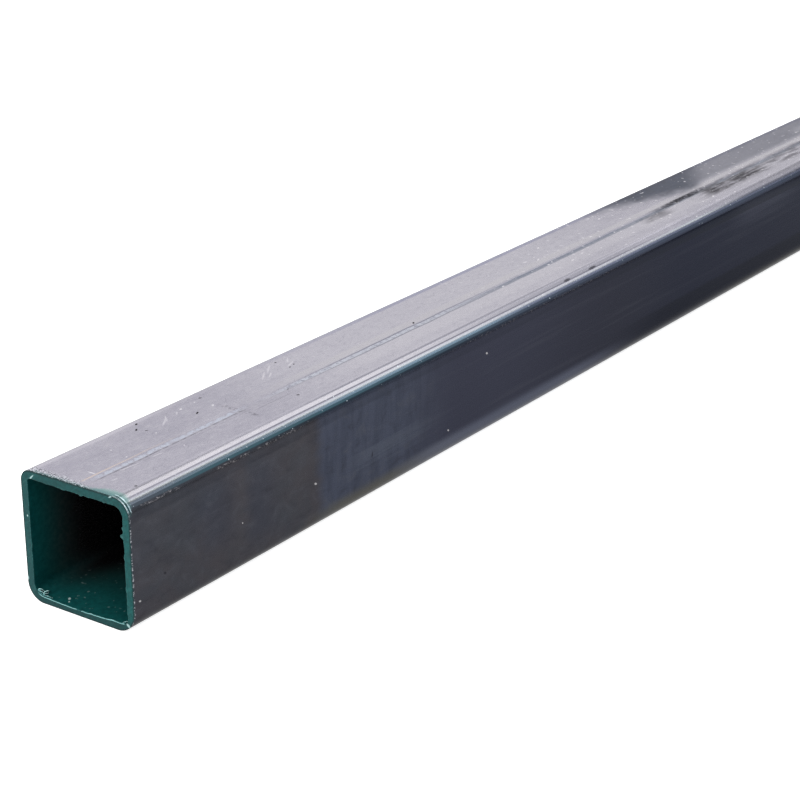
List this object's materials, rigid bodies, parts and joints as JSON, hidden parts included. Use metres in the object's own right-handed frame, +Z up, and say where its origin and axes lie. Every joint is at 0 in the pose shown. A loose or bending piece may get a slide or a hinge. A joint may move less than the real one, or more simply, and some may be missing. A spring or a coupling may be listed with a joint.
{
  "type": "square steel tube",
  "caption": "Straight length of thin-walled square steel tube with small rounded corners, a weld seam along one wall and sawn, painted ends, for frames, legs and brackets.",
  "frame": {"origin": "under the middle of the tube, on the plane that it rests on", "axes": "+X along the tube, away from the painted near end; +Y across the section; +Z up, out of the wall that holds the weld seam"},
  "size_m": [0.9144, 0.0254, 0.0254],
  "materials": {
    "mill_steel": "bare hot rolled mill finish, dark blue-grey with a thin oil film, dark green paint on the near end and inside its mouth"
  },
  "bodies": {
    "root": {"square_tube": "mill_steel"}
  },
  "joints": []
}
